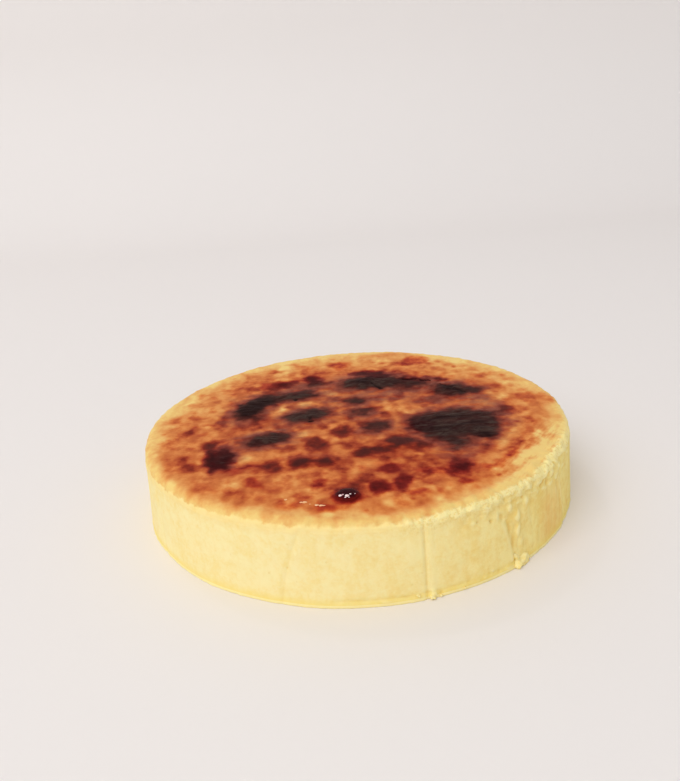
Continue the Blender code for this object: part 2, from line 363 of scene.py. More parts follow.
def ellipseShare(x, y, spot):
    # 0 at the middle of a turned ellipse, 1 on its outline
    middleX, middleY, length, width, turn = spot[:5]
    c = math.cos(math.radians(turn))
    s = math.sin(math.radians(turn))
    along = (x - middleX) * c + (y - middleY) * s
    across = (y - middleY) * c - (x - middleX) * s
    return np.hypot(along / length, across / width)


def evenTop(radius):
    return cake["height"] - cake["sink"] * (1.0 - np.minimum(1.0, radius / inner) ** 2) ** 2


def evenWall(height):
    return cake["baseRadius"] + (cake["topRadius"] - cake["baseRadius"]) * height / cake["height"]


def cakeOutline():
    # radius, height and distance along the skin from the shoulder (above 0 on the top) of each ring
    rows = []
    arc = cake["rimRound"] * math.pi / 2.0
    for ring in range(cake["topRings"]):
        radius = inner * (ring / cake["topRings"]) ** cake["ringCrowd"]
        rows.append((radius, float(evenTop(radius)), arc + inner - radius))
    for ring in range(cake["rimRings"] + 1):
        turn = math.pi / 2.0 * (1.0 - ring / cake["rimRings"])
        out = cake["rimRound"] * math.cos(turn)
        rows.append((inner + out, shoulder + cake["rimRound"] * math.sin(turn), cake["rimRound"] * turn))
    for ring in range(1, cake["wallRings"] + 1):
        height = shoulder + (cake["footRound"] - shoulder) * ring / cake["wallRings"]
        rows.append((evenWall(height), height, height - shoulder))
    for ring in range(1, cake["footRings"] + 1):
        turn = math.pi / 2.0 * ring / cake["footRings"]
        inset = cake["footRound"] * (1.0 - math.cos(turn))
        height = cake["footRound"] * (1.0 - math.sin(turn))
        rows.append((cake["baseRadius"] - inset, height, height - shoulder))
    for share in (0.93, 0.6, 0.3):
        rows.append((cake["baseRadius"] * share, 0.0, -shoulder))
    return np.array(rows).T


def crowded(column):
    even = 360.0 * column / columns
    return even - cake["crowd"] * np.sin(np.radians(even - cake["crowdBearing"]))


def foldBearing(fold, height):
    share = np.clip(height / cake["height"], 0.0, 1.0)
    return fold[0] + (fold[1] - fold[0]) * share ** wall["foldBend"]


def columnBearings(height):
    # the bearings of a ring's columns, with those by each fold drawn to its line and its edges
    plain = crowded(np.arange(columns))
    bearings = plain.copy()
    for fold in folds:
        middle = (fold[0] + fold[1]) / 2.0
        home = int(np.argmin(np.abs(bearingGap(plain, middle))))
        gap = bearingGap(plain, plain[home])
        edge = wall["foldColumns"] * abs(bearingGap(plain[home - 1], plain[home]))
        line = bearingGap(foldBearing(fold, height), plain[home])
        half = math.degrees(fold[2] / cake["baseRadius"])
        reach = wall["gather"]
        near = np.abs(gap) < reach
        known = [-reach, -edge, 0.0, edge, reach]
        drawn = np.interp(gap[near], known, [-reach, line - half, line, line + half, reach])
        bearings[near] += drawn - gap[near]
    return bearings


def seamShare(height):
    # 1 in the middle of the seam, 0 above and below it
    return np.maximum(0.0, 1.0 - np.abs(height - wall["seamHeight"]) / wall["seamHalf"])


def wallRelief(bearing, height):
    turn = np.radians(bearing)
    x = cake["baseRadius"] * np.sin(turn)
    y = -cake["baseRadius"] * np.cos(turn)
    out = cake["wallSwell"] * softNoise(cake["wallSpan"], x, y, height)
    pressed = 1.0 - smooth(height, *wall["foldFade"])
    for fold in folds:
        half, depth, step = fold[2:]
        gap = bearingGap(bearing, foldBearing(fold, height))
        away = np.abs(np.radians(gap)) * cake["baseRadius"]
        out -= pressed * depth * np.maximum(0.0, 1.0 - away / half)
        beyond = np.exp(-np.maximum(gap, 0.0) / wall["stepReturn"]) * (gap > 0.0)
        out -= pressed * step * beyond * smooth(away, 0.0, half)
    lumpy = window(bearing, *wall["lumpWindow"]) * smooth(height, *wall["lumpHeights"])
    out += wall["lumpRise"] * softNoise(wall["lumpSpan"], x, y, height) * lumpy
    return out - wall["seamDepth"] * seamShare(height) * window(bearing, *wall["seamWindow"])


def fineWallRelief(bearing, radius, height):
    # what is too fine for the solid: grain, upright streaks of the paper, lumps, crumbs and pits
    # the height is measured along the skin, so that it goes on over the rim
    x = radius * np.sin(np.radians(bearing))
    y = -radius * np.cos(np.radians(bearing))
    out = wall["grainRise"] * softNoise(wall["grainSpan"], x, y, height + 50.0)
    stray = wall["lumpStray"] * softNoise(3.0, x, y, height + 20.0)
    for lumpBearing, lumpHeight, halfWidth, halfHeight, turn, rise in lumps:
        across = np.radians(bearingGap(bearing, lumpBearing)) * cake["baseRadius"]
        ellipse = (0.0, lumpHeight, halfWidth, halfHeight, turn)
        out += rise * (1.0 - smooth(ellipseShare(across + stray, height - stray, ellipse), 0.2, 1.5))

    crumbly = window(bearing, *wall["crumblyWindow"]) * smooth(height, *wall["crumblyHeights"])
    crumbs = softNoise(wall["crumblySpan"], x * 0.65, y * 0.65, height * 1.2 + 90.0)
    crumbs += 0.5 * softNoise(wall["crumblySpan"] / 2.2, x * 0.65, y * 0.65, height * 1.2 + 70.0)
    out += wall["crumblyRise"] * crumbs * crumbly
    ragged = 0.55 + 1.2 * softNoise(4.0, x * 0.65, y * 0.65, height * 1.3 + 33.0)
    wander = 1.6 * softNoise(6.0, x, y, 11.0)
    lip = np.exp(-((height - wall["tornLipHeight"] - wander) / wall["tornLipHalf"]) ** 2)
    out += wall["tornLip"] * lip * ragged * window(bearing, *wall["tornLipWindow"])

    fill = 0.7 + softNoise(7.0, x, y, 71.0)
    out += wall["seamFill"] * seamShare(height) * fill * window(bearing, *wall["seamWindow"])
    smeared = softNoise(wall["smearSpan"], x, y, 5.0) + 0.5 * softNoise(1.4, x, y, 5.0) - wall["smearLess"]
    out += wall["smear"] * np.maximum(0.0, smeared) * (1.0 - smooth(height, *wall["smearHeights"]))
    streaky = 0.25 + 0.8 * window(bearing, *wall["streakWindow"])
    streaky *= 1.0 - smooth(height, *wall["streakFade"])
    out += wall["streakRise"] * softNoise(wall["streakSpan"], x, y, height * 0.16) * streaky
    for pitBearing, pitHeight, pitRadius in pits:
        away = np.hypot(np.radians(bearing - pitBearing) * cake["baseRadius"], height - pitHeight)
        out -= wall["pitDepth"] * (1.0 - smooth(away, pitRadius * 0.3, pitRadius * 1.3))
    gap = np.radians(bearing - foldBearing(folds[1], height)) * cake["baseRadius"]
    return out + wall["foldLip"] * np.exp(-((gap - wall["foldLipAside"]) / wall["foldLipHalf"]) ** 2)


def skinRelief(x, y):
    up = cake["skinSwell"] * softNoise(cake["skinSpan"], x, y)
    for blister in blisters:
        up += blister[5] * (1.0 - smooth(ellipseShare(x, y, blister), 0.25, 1.25))
    return up


def rimRelief(bearing, radius, x, y):
    # the torn rim's crags and its slope
    crag = 0.5 + softNoise(rim["tearSpan"], x, y)
    tear = rim["tearRise"] * crag * window(bearing, *rim["tearWindow"])
    slump = rim["slump"] * window(bearing, *rim["slumpWindow"])
    sloping = smooth(radius, inner - rim["slumpWidth"], inner)
    return tear * smooth(radius, inner * 0.95, inner) - slump * sloping


def nearbyMean(grid):
    # each point's mean with its neighbours, which go round the cake but end at the first and last row
    reach = wall["hollowReach"]
    for axis, mode in ((0, "edge"), (1, "wrap")):
        widths = [(reach, reach) if side == axis else (0, 0) for side in (0, 1)]
        wide = np.pad(grid, widths, mode=mode)
        grid = sum(np.roll(wide, shift, axis) for shift in range(-reach, reach + 1)) / (2 * reach + 1)
        grid = grid[reach:-reach] if axis == 0 else grid[:, reach:-reach]
    return grid


def cakePoints():
    # every point of the cake as rows (rings) and columns, with what the material needs to know of it
    ringRadius, ringHeight, ringSkin = cakeOutline()
    radius = np.repeat(ringRadius[:, None], columns, axis=1)
    height = np.repeat(ringHeight[:, None], columns, axis=1)
    skin = np.repeat(ringSkin[:, None], columns, axis=1)
    upper = smooth(height, shoulder, cake["height"] - cake["sink"])
    plain = crowded(np.arange(columns))[None, :]
    drawn = np.array([columnBearings(level) for level in ringHeight])
    share = 1.0 - upper * (1.0 - smooth(radius, inner * 0.55, inner * 0.9))
    bearing = plain + bearingGap(drawn, plain) * share
    bearing = bearingGap(bearing, 0.0)

    outer = smooth(radius, inner * 0.9, inner) * (height > 0.0)
    fine = fineWallRelief(bearing, radius, shoulder + skin) * outer * smooth(-skin, -4.0, 2.0)
    radius = radius + wallRelief(bearing, height) * smooth(radius, inner * 0.9, inner)
    # how far each point lies below its neighbours; the material paints shade in these hollows and a highlight
    # on the ridges
    hollow = nearbyMean(radius + fine) - radius - fine
    radius = radius + fine
    x = radius * np.sin(np.radians(bearing))
    y = -radius * np.cos(np.radians(bearing))
    height = height + upper * rimRelief(bearing, radius, x, y)
    calm = cake["rimCalm"] * smooth(radius, inner * 0.95, inner)
    rise = skinRelief(x, y)
    height = height + upper * (1.0 - calm) * rise

    # crumbs of the torn rim push out and up, and a ridge of custard stands beside the skin
    torn = window(bearing, *rim["crumbWindow"])
    edge = np.interp(bearing, skinEdge["bearing"], skinEdge["edge"])
    lip = torn * np.exp(-((skin - edge + 0.8) / rim["crumbHalf"]) ** 2)
    crumb = softNoise(rim["crumbSpan"], x * 0.65, y * 0.65, height * 1.3)
    crumb += 0.6 * softNoise(rim["crumbSpan"] / 2.0, x * 0.65, y * 0.65, height * 1.3)
    push = rim["crumbRise"] * crumb * lip
    broken = np.maximum(0.0, 0.5 + 0.7 * softNoise(5.0, x, y, 17.0) + 1.1 * softNoise(1.9, x, y, 17.0))
    ridge = torn * np.exp(-((skin - edge + 0.9) / rim["ridgeHalf"]) ** 2) * broken
    push = push + rim["ridge"] * ridge
    push = push + rim["roughness"] * softNoise(2.4, x, y, height) * np.exp(-((skin - 2.5) / 3.0) ** 2)
    height = height + push
    x = x + push * np.sin(np.radians(bearing)) * 0.7
    y = y - push * np.cos(np.radians(bearing)) * 0.7
    height = np.where(ringHeight[:, None] > 0.0, height, 0.0)
    points = {"x": x, "y": y, "z": height, "bearing": bearing, "skin": skin, "hollow": hollow}
    return {**points, "rise": rise * upper}


# The scorched pattern of the top

# spots of each kind: middle, half length, half width and turn
burns = {
    "char": [
        (42.5, -12, 17.5, 13.8, -6), (50.3, -24.4, 6.6, 8, 0), (38.6, -32, 4.2, 7.6, 0),
        (29.4, -13, 5, 7, 20), (34.4, -22, 7.4, 7.4, 0), (4, 41.5, 9, 8.6, -10),
        (14.5, 40.5, 9.5, 7.6, -14), (45, 24, 7.8, 8, -35), (-45, 17.6, 11.6, 6.4, 70),
        (-40.6, 25, 5.6, 4.6, 20), (-29, 29.4, 12, 4.8, 6), (-22, 31, 3.2, 3.6, 0), (-24, 5.4, 6, 6.4, 0),
        (-17.2, 8.4, 5.6, 6.6, 0), (-37.4, -18, 9, 5.6, 26), (-32.2, -13.2, 3.2, 3.8, 30),
        (-52.2, -33.4, 2, 3.4, 0),
    ],
    "smudge": [
        (30.6, 34, 8, 3.8, -12), (24, 29.4, 4, 2.6, 0), (-17.4, 42.8, 3.8, 4, 0), (-22, 43.4, 4, 2.2, 0),
        (-12.2, 43.4, 2.6, 2.4, 0),
    ],
    "sooty": [
        (54, 21.4, 4.4, 3.8, -20), (-2, 20.6, 5.8, 3, -10), (3, 18.6, 2.8, 2.6, 0), (2.6, 6.6, 5.2, 5, 20),
        (8.6, -10.8, 5.2, 6.4, -15), (25.6, 38, 8.6, 4, -16),
    ],
    "umber": [(17.4, -27.4, 6.6, 4.6, -8)],
    "maroon": [
        (-54.2, -33.6, 5.4, 9, 0), (-54.2, -41.6, 2.2, 2.6, 0), (-32.6, 45, 3.8, 3.6, 0),
        (-18.8, 50, 3.8, 3.6, 0), (36.4, -54.8, 3.5, 5.6, -24), (6.8, 54, 5, 2.4, 0),
        (13.5, 49.4, 4.4, 2.4, -10), (31.8, 41.6, 6.6, 1.7, -18), (27, -12.8, 3.6, 5.2, 0),
    ],
    "ruby": [(-5.4, -71.4, 5.0, 5.2, 0), (5.8, -66.2, 3.5, 4.9, 6), (14.8, -64.0, 3.0, 4.8, -12)],
    "crimson": [(11.2, -51.6, 4.0, 3.1, 8), (-28.8, 48.4, 1.8, 2.0, 0)],
    "scorch": [
        (-34.6, -44, 4, 4.6, 0), (-23, -41.6, 3.8, 3.4, 0), (-15.6, -41, 6.4, 2.6, -4),
        (-16.4, -25.4, 4, 5.2, 0), (-5.2, -14.2, 3.4, 5.2, 0), (10, -35, 4, 2.8, 10),
        (2.4, -35.2, 4, 3.4, 0), (25.8, -33.2, 3.2, 4.4, -30), (64.4, -4.6, 2.2, 3.6, 0),
        (-42.6, 3.4, 2.4, 4, 0), (-58.6, -21, 2.6, 4.4, 10), (19.4, 52.8, 4.6, 2.2, -10),
    ],
    "brown": [
        (-6.2, -47.4, 4, 3.8, 0), (-4, -63.6, 5.4, 3.6, 0), (34, 14, 4.6, 4.6, 0), (-48.6, -4, 2.4, 3.6, 0),
        (-56.6, 7, 1.9, 4.2, 0), (-71.6, -7.4, 2.3, 3.4, 0), (-68.6, -33.6, 2.2, 3.6, 0),
        (-65, -41.6, 3.6, 2.4, -20), (-28.2, -27.6, 2.2, 2.8, 0), (19.5, -45.4, 1.8, 2.6, 0),
        (27, -49, 2.2, 2.2, 0), (42, 37.4, 3.2, 2.6, 30), (50, -39.6, 2, 2.8, 0), (9.4, -43, 1.6, 2, 0),
        (-7, 12.6, 1.6, 1.6, 0), (-22.4, -8.4, 1.8, 2, 0), (33, -46, 2.2, 1.6, 0), (-2, -28, 3.4, 4, 0),
        (-42, -5, 3.2, 3.6, 0), (-13, -59, 3, 2.2, 0), (16, -53, 2.6, 2.6, 0), (-16, -52, 2.6, 2.6, 0),
        (22, -59, 3, 2.4, 0), (8, 9, 3.4, 3.8, 0), (2, -59, 3.4, 3.2, 0), (-28, -47, 3.4, 2.4, 0),
        (-23, -36.6, 3, 2.8, 0), (-37, 38, 3.6, 3.4, 0), (-56.4, -18, 2.2, 3, 0), (-46.2, -42, 2.6, 2.4, 0),
        (-11, -37, 2.4, 2.6, 0), (3, -70, 2.6, 2.2, 0), (12, 2, 2.6, 2.6, 0), (20, 22, 4, 3, 0),
        (10, 21.4, 2.6, 2.4, 0), (-14, -6, 3, 3, 0), (-46.4, 42, 3.4, 3, 0), (-12, -65, 2.4, 2, 0),
        (-8, -59, 2.4, 2.2, 0), (-57, 1.4, 1.8, 3.4, 0), (24, -52.4, 2.4, 2.2, 0),
        (58.4, -41.6, 3.8, 1.6, 66), (-61, -42, 2.4, 2.4, 0), (62.1, -36, 2.6, 1.8, 65),
        (65.4, 3.4, 2.2, 4.2, 0), (4.6, -7, 2.4, 2.8, 0), (11, -32.4, 2.6, 1.8, 0), (-18, -60, 2.6, 2.2, 0),
        (-30, -3.4, 3, 2.4, 0), (69, -6.4, 1.8, 2.6, 0), (-36.2, 40.4, 2.4, 2.2, 0),
        (-13, -22.4, 2.2, 2.4, 0), (13, 4, 2, 2, 0), (-19, -18.4, 2.2, 2, 0),
    ],
    "haze": [
        (30, 31, 10, 5, -20), (38, 36, 5, 3.6, -35), (44, 13, 11, 4.6, -6), (54, 12, 6, 5, 0),
        (60, -8, 3, 9, 0), (14, 24, 12, 6, 0), (-24, 37, 6, 3, 0),
    ],
    "coal": [
        (-46, 16, 10.4, 5, 72), (5.6, 44.6, 3.6, 2.6, 0), (-40.8, 25, 5, 3.4, 25), (45.4, 26, 6, 2, -52),
        (-57.6, -33, 0.9, 4.4, 6), (38, -7, 9, 1.6, 2), (33, -17, 7, 1.4, -6), (47, -14, 7, 1.4, 8),
        (51, -28, 3, 2.2, 0),
    ],
    "red": [
        (-40, 44.4, 3.2, 3.4, 0), (-47.4, -45.4, 2.6, 2.6, 0), (-43.5, -43.5, 2.6, 1.2, 20),
        (-39, -57, 2.1, 3.8, 25), (-15.4, -59.8, 2.2, 2.8, 0), (23.4, -55.8, 3, 2.5, 0),
        (28.6, -57.4, 3.8, 1.8, 0), (-4.6, 66.6, 3.6, 4.8, 0), (34.4, 68, 5.2, 5.2, 30),
        (27.6, 62.6, 3.6, 2.4, 0), (37, -66.4, 2.2, 2, 0), (18.4, -71.6, 2.6, 1.4, 0),
        (-12.4, -78.8, 3.6, 1.9, 0), (-25.4, -75.2, 3.4, 1.8, -8), (56, -48.4, 4.8, 1.3, 62),
        (50.4, -56, 2, 2, 0), (10.4, -66.2, 2.4, 2.2, 0), (46.4, -56.6, 2, 1.8, 0),
    ],
    "tan": [
        (-22.5, 61, 2.2, 7, 0), (-16, 57.6, 3, 3.6, 0), (-46, 38.6, 5.6, 2.8, 0), (-57, 43, 3, 4, 30),
        (-71, 12, 4, 4, 0), (61.5, 40, 2.6, 2.2, 0), (66.4, 40.4, 2.2, 1.8, 0), (65.4, 24.4, 2.8, 2.4, 0),
        (71.6, -18, 2.6, 3.4, 0), (-30, -63, 4, 2.4, 0), (-36.6, -68, 4, 2.2, -20),
        (-46.6, -62, 5, 2.2, -35), (-78, -18, 3, 4, 0), (-80, 7, 4.4, 3.2, 0), (62.6, -17.6, 2, 3.4, 0),
        (-70.6, -41.5, 3.4, 2.6, -60), (-57.6, -57.6, 5, 2.2, -45), (66.5, -38, 4.6, 2.6, 60),
        (24.4, -62.4, 3.6, 2, 0), (-75, -17, 2.4, 3.4, 0), (31, 61, 4, 3, 0), (-11, 59, 4, 3, 0),
        (-72, -38, 2.6, 3.4, 0), (-74, 2, 2.6, 4, 0), (-67, -20, 3, 4, 0), (-26, 56, 3.6, 3, 0),
        (-29, -58, 3.4, 2.2, 0), (76, 8.4, 4.6, 3.6, 0), (66, -31, 5, 1, 66), (63, -43.6, 5, 0.8, 56),
        (55, -59, 6, 0.8, 42), (44, -64, 5, 0.9, 30), (83, 6, 2, 5, 0), (-50, 49, 4, 2.6, 30),
        (27, 33, 4, 2, -10),
    ],
}

# how dark each kind is at its middle, how soft its edge is and how dark and wide its halo is, then how
# black, coal-like, red and smoky it is
burnKinds = {
    "char": {"dark": 0.93, "edge": 3.5, "halo": 0.34, "haloWidth": 6.4, "black": 1.0, "smoke": 1.0},
    "smudge": {"dark": 0.60, "edge": 3.0, "halo": 0.10, "haloWidth": 4.0, "black": 0.6, "smoke": 1.0},
    "umber": {"dark": 0.79, "edge": 2.5, "halo": 0.20, "haloWidth": 4.2, "red": 0.2},
    "sooty": {"dark": 0.80, "edge": 2.4, "halo": 0.24, "haloWidth": 4.6, "black": 0.35, "smoke": 1.0},
    "coal": {"dark": 0.66, "edge": 2.2, "halo": 0.00, "haloWidth": 2.0, "coal": 1.0},
    "haze": {"dark": 0.10, "edge": 3.6, "halo": 0.04, "haloWidth": 4.0, "smoke": 1.0},
    "maroon": {"dark": 0.70, "edge": 2.3, "halo": 0.30, "haloWidth": 4.4, "red": 1.0},
    "ruby": {"dark": 0.58, "edge": 1.8, "halo": 0.20, "haloWidth": 2.8, "red": 1.0},
    "crimson": {"dark": 0.45, "edge": 2.0, "halo": 0.12, "haloWidth": 2.8, "red": 1.0},
    "scorch": {"dark": 0.62, "edge": 2.5, "halo": 0.15, "haloWidth": 3.8, "red": 0.35},
    "brown": {"dark": 0.32, "edge": 2.2, "halo": 0.06, "haloWidth": 3.0, "red": 0.3},
    "red": {"dark": 0.19, "edge": 2.0, "halo": 0.06, "haloWidth": 2.4, "red": 1.0},
    "tan": {"dark": 0.15, "edge": 2.4, "halo": 0.00, "haloWidth": 2.0, "red": 0.35},
}

pattern = {
    # how far the outlines of the spots wander and over what length, from wide to fine
    "wander": [(1.0, 9.0), (1.2, 4.0)],
    "ragged": [(1.3, 3.4), (0.45, 1.7)],
    "smokeReach": 1.5,      # how much further than its halo a spot's smoke goes
    # freckles all over, and small red-brown spots, most of them in the golden ring
    "scatters": [
        {"count": 330, "reach": (0, 78), "crowd": 0.6, "size": (1.0, 3.2), "dark": (0.03, 0.20), "red": 0.0},
        {"count": 300, "reach": (40, 82), "crowd": 1.0, "size": (0.7, 2.0), "dark": (0.02, 0.17), "red": 0.6},
    ],
    "seed": 7,
    "crackDepth": 0.5,
}

# cracks in the charred skin: two ends and half width
cracks = [
    (9, 44.5, 11, 38.5, 0.7), (11, 38.5, 14.5, 31.5, 0.9), (-26.6, 27, -25.6, 24.6, 0.9),
    (-18.4, 6, -19.4, 1.4, 0.7), (-19.4, 1.4, -18.4, -1.6, 0.6), (42, 33, 46.5, 25, 0.8),
    (46.5, 25, 51.5, 20, 0.7), (22, 43.4, 30.5, 40.8, 0.6), (31.5, 40.4, 38.5, 37.2, 0.5),
]

# how toasted the plain skin is: just inside the rim, past the golden band, and in the middle
toasted = {
    "rim": 0.00,
    "skin": 0.32,
    "middle": 0.38,
    "middleReach": (66.0, 40.0),
    # wide patches that are paler (below 0) or browner: middle, half length, half width, turn, change
    "patches": [
        (-33.6, 57, 3.8, 8, 8, -0.1), (-31, 67, 4, 5, 0, -0.3), (18, 67, 4, 5, 0, -0.18),
        (-67, 4, 5, 10, 0, -0.12), (-59, 20, 4, 5, 0, -0.14), (17, 7, 3.8, 4, 0, -0.26),
        (50, 52, 6, 5, 0, -0.12), (35, 51, 4, 4, 0, -0.14), (-21, 18.6, 4.6, 4, 0, -0.28),
        (61, -25, 4, 5, 0, -0.16), (-12, 32, 5, 3.4, 0, -0.36), (64, 14, 4.6, 7, 0, -0.26),
        (-22, -13, 4.6, 4.6, 0, -0.2), (-8.6, -21, 3, 4, 0, -0.2), (11, -24, 3, 3, 0, -0.26),
        (24, 3, 4, 3, 0, -0.2), (71, -1, 3.4, 5, 0, -0.18), (21, -39.6, 3.4, 3, 0, -0.2),
        (-69, -26, 3, 3.4, 0, -0.16), (54, 58, 7, 6, -45, -0.12), (-67, -50, 4, 4, 0, -0.16),
        (-22, -58, 3.4, 2.6, 0, -0.12), (-57, 47, 4, 4, 0, -0.18), (-35, 51.6, 3.6, 2.4, 0, -0.18),
        (-26.4, -20.4, 3, 3.4, 0, -0.2), (-17, -64.6, 3, 2.4, 0, -0.18), (-8, -29.6, 3, 3, 0, -0.16),
        (11, 57.4, 4, 2.4, 0, -0.16), (-33, 17, 3, 4, 0, -0.16), (71, -29, 3, 5, 0, -0.12),
        (54, -37, 4, 6, 0, -0.16), (27, -69, 5, 3, 0, -0.18), (12, -78, 5, 2.6, 0, -0.2),
        (22, -75, 4, 2.4, 0, -0.18), (-29, 78, 7, 4, 10, -0.12), (-68, 49, 4, 5, 0, -0.12),
        (-20, -71, 5, 2.6, 0, -0.16), (-35, 12, 3, 4, 0, -0.14), (58, 42, 4, 4, 0, -0.12),
        (72, 24, 4, 5, 0, -0.14), (-80, -24, 3, 5, 0, -0.1), (-8, -82, 6, 2.4, 0, -0.14),
        (-26, -31, 4, 3, 0, -0.16), (-75, 26, 3, 5, 0, -0.12), (45, 45, 4, 4, 0, -0.14),
        (-36, -9.4, 5.4, 3.4, 0, -0.24), (18, 79, 12, 3.6, 0, 0.12), (30, 68, 9, 6, 0, 0.1),
        (16, 16, 9, 8, 0, -0.1), (-12, -8, 6, 5, 0, -0.06), (-38, -33, 10, 7, 0, -0.06),
        (-15, -15, 8, 6, 0, -0.06), (-56, -52, 22, 8, -44, -0.03), (60, 18, 7, 8, 0, 0.14),
        (62.5, -52, 13, 4.4, 50, -0.12), (-20, 60, 14, 7, 0, -0.04), (-22, -66, 14, 5, 0, -0.05),
        (-33, 9, 4, 8, 0, -0.14),
    ],
}


def nearCracks(x, y):
    # 1 in a crack, 0 beside it; a crack wanders and thins towards its ends
    x = x + softNoise(2.6, x, y, 80.0)
    y = y + softNoise(2.6, x, y, 90.0)
    deep = np.zeros_like(x)
    for startX, startY, endX, endY, half in cracks:
        run = np.array([endX - startX, endY - startY])
        share = np.clip(((x - startX) * run[0] + (y - startY) * run[1]) / (run @ run), 0.0, 1.0)
        away = np.hypot(x - startX - share * run[0], y - startY - share * run[1])
        width = half * np.sqrt(1.1 - (2.0 * share - 1.0) ** 2)
        deep = np.maximum(deep, 1.0 - smooth(away, width * 0.3, width * 1.5))
    return deep


def wandered(x, y):
    # the same places, moved a little so that what lies there has a natural outline
    return [
        place + sum(far * softNoise(span, x + offset, y, span) for far, span in pattern["wander"])
        for offset, place in ((0.0, x), (300.0, y))
    ]


def burnMaps(points, viewPitch):
    # how burnt, black, sooty, red and smoky the skin is at each point
    x = points["x"]
    y = points["y"] + points["rise"] / math.tan(viewPitch)  # the spots lie as seen from the front
    bentX, bentY = wandered(x, y)
    ragged = sum(far * softNoise(span, x, y, 20.0 + span) for far, span in pattern["ragged"])
    left = np.ones_like(x)
    maps = {name: np.zeros_like(x) for name in ("black", "coal", "red", "smoke")}
    for kind, look in burnKinds.items():
        for spot in burns[kind]:
            inside = (1.0 - ellipseShare(bentX, bentY, spot)) * min(spot[2], spot[3]) + ragged
            core = smooth(inside, -look["edge"], look["edge"])
            halo = smooth(inside, -look["haloWidth"], 0.5)
            left *= (1.0 - look["dark"] * core) * (1.0 - look["halo"] * halo * (1.0 - core))
            fume = smooth(inside, -look["haloWidth"] * pattern["smokeReach"], 1.0)
            for name, share in (("black", core), ("coal", core), ("red", halo), ("smoke", fume)):
                maps[name] = np.maximum(maps[name], look.get(name, 0.0) * share)
    chance = random.Random(pattern["seed"])
    for scatter in pattern["scatters"]:
        near, far = scatter["reach"]
        for _ in range(scatter["count"]):
            reach = near + (far - near) * chance.random() ** scatter["crowd"]
            turn = chance.uniform(0.0, math.tau)
            size = chance.uniform(*scatter["size"])
            dark = chance.uniform(*scatter["dark"])
            away = np.hypot(bentX - reach * math.cos(turn), bentY - reach * math.sin(turn))
            spot = 1.0 - smooth(away, size * 0.3, size * 1.7)
            left *= 1.0 - dark * spot
            maps["red"] = np.maximum(maps["red"], scatter["red"] * spot)
    crack = nearCracks(bentX * 0.3 + x * 0.7, bentY * 0.3 + y * 0.7)
    maps["coal"] = np.maximum(maps["coal"], crack)
    maps["burnt"] = 1.0 - left * (1.0 - crack)
    return maps, crack


def toastMap(x, y, golden):
    # how toasted the plain skin is at each point, from 0 at bare gold
    bentX, bentY = wandered(x, y)
    level = toasted["rim"] + (toasted["skin"] - toasted["rim"]) * smooth(golden, -0.1, 1.1)
    far, near = toasted["middleReach"]
    level += (toasted["middle"] - toasted["skin"]) * (1.0 - smooth(np.hypot(x, y), near, far))
    for patch in toasted["patches"]:
        level += patch[5] * (1.0 - smooth(ellipseShare(bentX, bentY, patch), 0.4, 1.5))
    return level


# parts of the cake with a look of their own
zones = {
    "torn": (12.0, 66.0, 8.0),
    "combed": (44.0, 68.0, 12.0),
    # the wall there is darker: partly the tan of the torn custard, partly painted shade of the hollow
    "recess": (50.0, 55.0, 6.0),    # the darker hollow of the wall below the tear
    "recessHeights": (14.0, 28.0),
    "ripe": (-20.0, 66.0),          # bearings over which the wall turns yellower
    "unripe": (120.0, 170.0),       # and paler again
    "foot": (0.5, 5.0),
}


def cakeValues(points, viewPitch):
    # what the material needs to know at each point
    bearing = points["bearing"]
    values, crack = burnMaps(points, viewPitch)
    known = skinEdge["bearing"]
    edge, blend, gold = (np.interp(bearing, known, skinEdge[name]) for name in ("edge", "blend", "gold"))
    values["golden"] = (points["skin"] - edge) / gold
    values["toast"] = toastMap(points["x"], points["y"], values["golden"])
    values["crust"] = points["skin"] - edge
    values["blend"] = blend
    values["torn"] = window(bearing, *zones["torn"])
    values["combed"] = window(bearing, *zones["combed"])
    values["ripe"] = smooth(bearing, *zones["ripe"]) * (1.0 - smooth(bearing, *zones["unripe"]))
    values["foot"] = 1.0 - smooth(points["z"], *zones["foot"])
    low = 1.0 - smooth(points["z"], *zones["recessHeights"])
    values["recess"] = window(bearing, *zones["recess"]) * low
    values["hollow"] = points["hollow"]
    return values, crack


def makeCake(viewPitch, material):
    points = cakePoints()
    values, crack = cakeValues(points, viewPitch)
    onTop = smooth(values["crust"], 0.0, 5.0)
    wrinkle = rim["wrinkleRise"] * softNoise(1.9, points["x"] * 0.34, points["y"], 60.0)
    points["z"] = points["z"] + onTop * (wrinkle * values["black"] - pattern["crackDepth"] * crack)

    # the rings from the second on, with a fan to one point in the middle of the top and of the base
    grid = np.stack([points["x"], points["y"], points["z"]], axis=2)
    flat = grid[..., :2].reshape(-1, 2)
    middle = np.append((flat.max(0) + flat.min(0)) / 2.0, 0.0)
    top = np.array([0.0, 0.0, points["z"][0].mean()])
    rows = len(grid) - 1
    grid = (grid - middle)[1:].reshape(-1, 3)
    place = np.concatenate([grid, [top], [np.zeros(3)]])
    number = np.arange(len(grid)).reshape(rows, columns)
    beside = np.roll(number, -1, axis=1)
    quads = np.stack([number[:-1], number[1:], beside[1:], beside[:-1]], axis=2).reshape(-1, 4).tolist()
    topFan = [(len(grid), a, b) for a, b in zip(number[0].tolist(), beside[0].tolist())]
    baseFan = [(len(grid) + 1, b, a) for a, b in zip(number[-1].tolist(), beside[-1].tolist())]
    for name, level in values.items():
        values[name] = np.concatenate([level[1:].ravel(), [level[0].mean()], [level[-1].mean()]])
    return meshObject("bakedCheesecake", place, quads + topFan + baseFan, material, values)


# The baked custard and its browned skin

